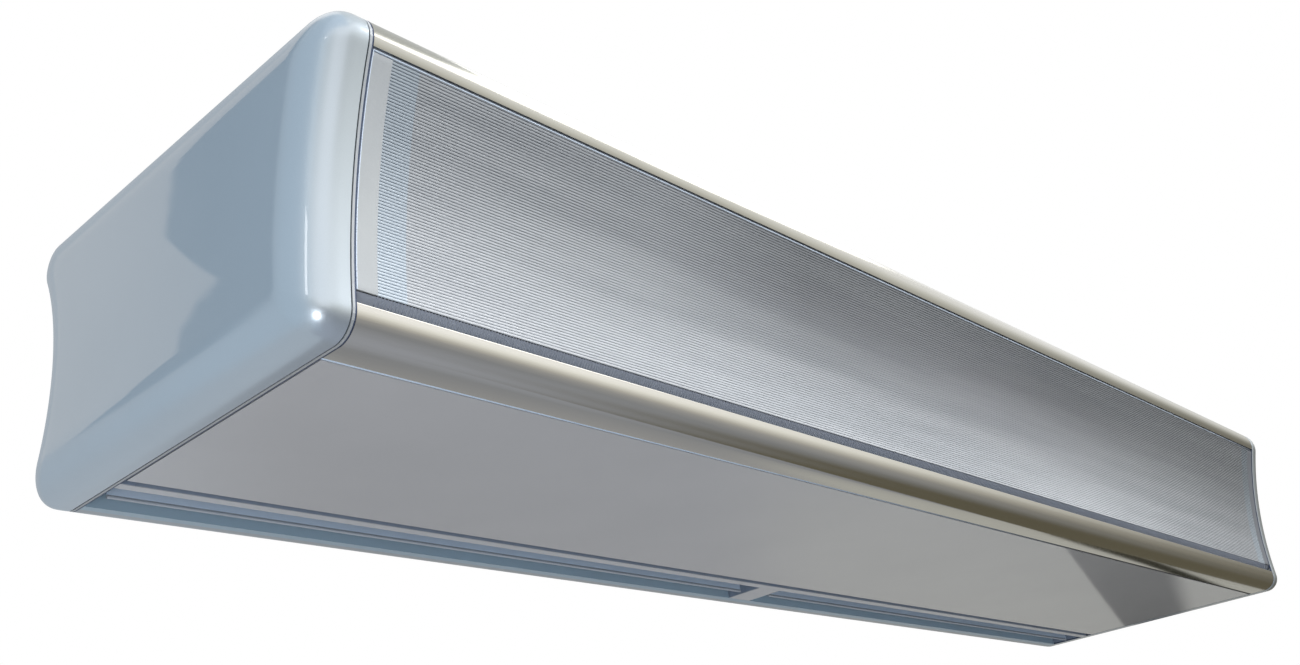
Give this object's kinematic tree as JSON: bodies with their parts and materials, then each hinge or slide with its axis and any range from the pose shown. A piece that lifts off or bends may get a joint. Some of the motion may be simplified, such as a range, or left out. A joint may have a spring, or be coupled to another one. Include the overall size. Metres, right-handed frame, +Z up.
{
  "type": "air curtain",
  "caption": "Over-door air curtain with a concave intake grille, rounded end caps, twin centrifugal fans, adjustable discharge vanes and a hinged service panel underneath.",
  "frame": {"origin": "centre of the four threaded-rod holes, on the outside of the top panel", "axes": "+X along the casing towards the right end as seen from the intake, +Y to the back (away from the intake grille), +Z up"},
  "size_m": [2.039, 0.5236, 0.301],
  "materials": {
    "board_green": "circuit board",
    "body_paint": "satin metallic grey paint",
    "bright_steel": "ground steel",
    "cap_paint": "moulded cap in glossy silver-blue metallic paint",
    "dark_plastic": "moulded, fine grain",
    "duct_paint": "satin blue-grey paint",
    "end_plate_metal": "light satin paint",
    "grille_metal": "fine bars in satin metallic grey paint",
    "light_sheet": "satin light sheet",
    "lip_paint": "satin light grey paint",
    "motor_paint": "dark satin paint",
    "panel_paint": "satin light grey paint",
    "rail_metal": "polished, with a faint lengthwise grain",
    "rubber": "matt",
    "vane_metal": "anodised blue-grey",
    "wheel_metal": "zinc-coated, dull",
    "white_nylon": "natural nylon",
    "zinc_sheet": "zinc-coated sheet, dull"
  },
  "bodies": {
    "casing": {"left_end_cap": "cap_paint", "right_end_cap": "cap_paint", "left_end_plate": "end_plate_metal", "right_end_plate": "end_plate_metal", "top_rail": "rail_metal", "nose_rail": "rail_metal", "intake_grille": "grille_metal", "left_grille_backing": "light_sheet", "right_grille_backing": "light_sheet", "top_panel": "zinc_sheet", "back_panel": "body_paint", "nozzle_front_lip": "lip_paint", "nozzle_rear_lip": "lip_paint", "nozzle_rib": "lip_paint", "vane_end_brackets": "lip_paint", "vane_bushes": "white_nylon", "hinge_rod": "bright_steel", "hinge_blocks": "lip_paint", "catch_housings": "dark_plastic", "fan_deck": "zinc_sheet", "duct_front_wall": "duct_paint", "duct_rear_wall": "duct_paint", "fan_housing_1": "zinc_sheet", "fan_housing_2": "zinc_sheet", "fan_housing_3": "zinc_sheet", "fan_housing_4": "zinc_sheet", "left_motor": "motor_paint", "right_motor": "motor_paint", "left_motor_cradle": "zinc_sheet", "right_motor_cradle": "zinc_sheet", "motor_bearings": "bright_steel", "resilient_rings": "rubber", "capacitors": "white_nylon", "capacitor_clips": "zinc_sheet", "control_box": "zinc_sheet", "control_box_lid": "zinc_sheet", "terminal_block": "white_nylon", "control_board": "board_green", "cable_gland": "dark_plastic", "hanger_brackets": "zinc_sheet"},
    "service_panel_body": {"service_panel": "panel_paint", "panel_stiffeners": "zinc_sheet", "catch_strikes": "bright_steel"},
    "left_rotor": {"left_shaft": "bright_steel", "fan_wheel_1": "wheel_metal", "fan_wheel_2": "wheel_metal"},
    "right_rotor": {"right_shaft": "bright_steel", "fan_wheel_3": "wheel_metal", "fan_wheel_4": "wheel_metal"},
    "left_vane_body": {"left_vane": "vane_metal"},
    "right_vane_body": {"right_vane": "vane_metal"}
  },
  "joints": [
    {"name": "service_panel_hinge", "type": "hinge", "parent": "casing", "child": "service_panel_body", "pos_m": [0, 0.113, -0.28], "axis": [1, 0, 0], "range_deg": [0, 90]},
    {"name": "left_fan_spin", "type": "hinge", "parent": "casing", "child": "left_rotor", "pos_m": [-0.46, 0.0685, -0.11866], "axis": [1, 0, 0], "continuous": true},
    {"name": "right_fan_spin", "type": "hinge", "parent": "casing", "child": "right_rotor", "pos_m": [0.46, 0.0685, -0.11866], "axis": [1, 0, 0], "continuous": true},
    {"name": "left_vane_tilt", "type": "hinge", "parent": "casing", "child": "left_vane_body", "pos_m": [-0.5, 0.1605, -0.267], "axis": [1, 0, 0], "range_deg": [-15, 15]},
    {"name": "right_vane_tilt", "type": "hinge", "parent": "casing", "child": "right_vane_body", "pos_m": [0.5, 0.1605, -0.267], "axis": [1, 0, 0], "range_deg": [-15, 15]}
  ]
}
